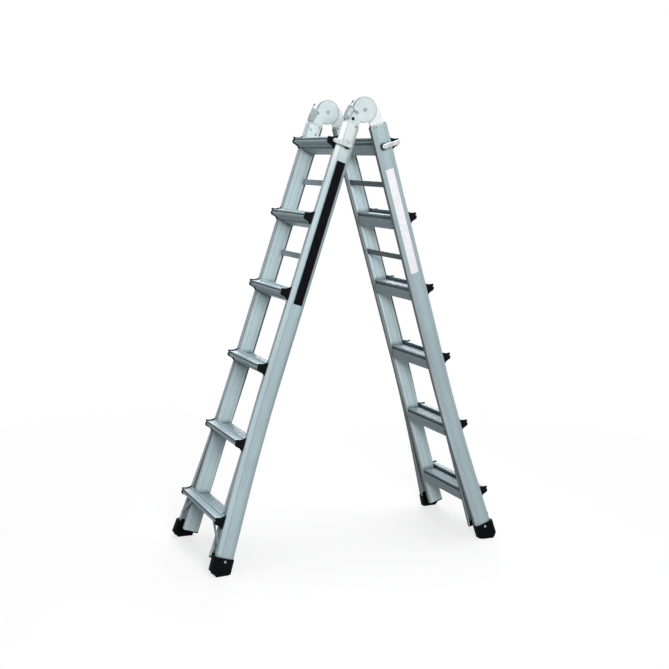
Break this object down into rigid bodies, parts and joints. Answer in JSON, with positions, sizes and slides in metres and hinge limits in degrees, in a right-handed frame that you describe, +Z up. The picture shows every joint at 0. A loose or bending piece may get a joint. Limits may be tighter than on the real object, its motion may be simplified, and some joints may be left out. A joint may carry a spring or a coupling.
{
  "type": "multi position ladder",
  "caption": "Folding, telescoping aluminium ladder standing as a stepladder, with flared outer legs, rubber feet, a locking hinge and sliding rail locks.",
  "frame": {"origin": "on the floor, at the middle of the stance", "axes": "+Z up, X across the stance with the front half towards -X, Y along the rungs"},
  "size_m": [1.1798, 0.4856, 1.677],
  "materials": {
    "outer_rail_aluminium": "satin extruded",
    "inner_rail_aluminium": "satin extruded",
    "rung_aluminium": "satin extruded with fine ribs",
    "hinge_plate": "bright zinc plated",
    "rivet_steel": "satin",
    "release_handle": "grey sheet steel",
    "lock_lever": "bright zinc plated",
    "black_cap": "matt black",
    "foot_rubber": "matt black"
  },
  "bodies": {
    "front_inner": {"front_inner_rail_left": "inner_rail_aluminium", "front_inner_rail_right": "inner_rail_aluminium", "front_inner_rung_1": "rung_aluminium", "front_inner_rung_2": "rung_aluminium", "front_inner_rung_3": "rung_aluminium", "front_inner_rung_4": "rung_aluminium", "front_inner_rung_5": "rung_aluminium", "front_inner_rung_6": "rung_aluminium", "front_spacer_bars": "rung_aluminium", "front_inner_end_caps": "black_cap", "front_bracket_rivets": "rivet_steel", "front_hinge_bracket_left": "hinge_plate", "front_hinge_bracket_right": "hinge_plate", "hinge_axles": "rivet_steel"},
    "front_outer": {"front_outer_rail_left": "outer_rail_aluminium", "front_outer_rail_right": "outer_rail_aluminium", "front_outer_rung_1": "rung_aluminium", "front_outer_rung_2": "rung_aluminium", "front_outer_rung_3": "rung_aluminium", "front_outer_rung_4": "rung_aluminium", "front_outer_rung_5": "rung_aluminium", "front_outer_rung_6": "rung_aluminium", "front_rung_caps": "black_cap", "front_feet": "foot_rubber", "front_foot_rivets": "rivet_steel", "front_braces": "rung_aluminium", "front_lock_guides": "black_cap"},
    "front_lock_left": {"front_rail_lock_left": "lock_lever"},
    "front_lock_right": {"front_rail_lock_right": "lock_lever"},
    "rear_inner": {"rear_inner_rail_left": "inner_rail_aluminium", "rear_inner_rail_right": "inner_rail_aluminium", "rear_inner_rung_1": "rung_aluminium", "rear_inner_rung_2": "rung_aluminium", "rear_inner_rung_3": "rung_aluminium", "rear_inner_rung_4": "rung_aluminium", "rear_inner_rung_5": "rung_aluminium", "rear_inner_rung_6": "rung_aluminium", "rear_spacer_bars": "rung_aluminium", "rear_inner_end_caps": "black_cap", "rear_bracket_rivets": "rivet_steel", "rear_hinge_bracket_left": "hinge_plate", "rear_hinge_bracket_right": "hinge_plate"},
    "rear_outer": {"rear_outer_rail_left": "outer_rail_aluminium", "rear_outer_rail_right": "outer_rail_aluminium", "rear_outer_rung_1": "rung_aluminium", "rear_outer_rung_2": "rung_aluminium", "rear_outer_rung_3": "rung_aluminium", "rear_outer_rung_4": "rung_aluminium", "rear_outer_rung_5": "rung_aluminium", "rear_outer_rung_6": "rung_aluminium", "rear_rung_caps": "black_cap", "rear_feet": "foot_rubber", "rear_foot_rivets": "rivet_steel", "rear_braces": "rung_aluminium", "rear_lock_guides": "black_cap"},
    "rear_lock_left": {"rear_rail_lock_left": "lock_lever"},
    "rear_lock_right": {"rear_rail_lock_right": "lock_lever"},
    "handle_left": {"release_handle_left": "release_handle"},
    "handle_right": {"release_handle_right": "release_handle"}
  },
  "joints": [
    {"name": "hinge_fold", "type": "hinge", "parent": "front_inner", "child": "rear_inner", "pos_m": [0, 0, 1.63152], "axis": [0, 1, 0], "range_deg": [-145, 35]},
    {"name": "front_extend", "type": "slide", "parent": "front_inner", "child": "front_outer", "axis": [-0.3007, 0, -0.9537], "range_m": [0, 1.4]},
    {"name": "front_lock_pin_left", "type": "slide", "parent": "front_outer", "child": "front_lock_left", "axis": [0, -1, 0], "range_m": [0, 0.0075], "stiffness_N_per_m": 300},
    {"name": "front_lock_pin_right", "type": "slide", "parent": "front_outer", "child": "front_lock_right", "axis": [0, 1, 0], "range_m": [0, 0.0075], "stiffness_N_per_m": 300},
    {"name": "rear_extend", "type": "slide", "parent": "rear_inner", "child": "rear_outer", "axis": [0.3007, 0, -0.9537], "range_m": [0, 1.4]},
    {"name": "rear_lock_pin_left", "type": "slide", "parent": "rear_outer", "child": "rear_lock_left", "axis": [0, -1, 0], "range_m": [0, 0.0075], "stiffness_N_per_m": 300},
    {"name": "rear_lock_pin_right", "type": "slide", "parent": "rear_outer", "child": "rear_lock_right", "axis": [0, 1, 0], "range_m": [0, 0.0075], "stiffness_N_per_m": 300},
    {"name": "handle_turn_left", "type": "hinge", "parent": "front_inner", "child": "handle_left", "pos_m": [-0.06749, 0.158, 1.60037], "axis": [0, -1, 0], "range_deg": [-11, 12], "stiffness_Nm_per_rad": 0.8},
    {"name": "handle_turn_right", "type": "hinge", "parent": "front_inner", "child": "handle_right", "pos_m": [-0.06749, -0.158, 1.60037], "axis": [0, -1, 0], "range_deg": [-11, 12], "stiffness_Nm_per_rad": 0.8}
  ]
}
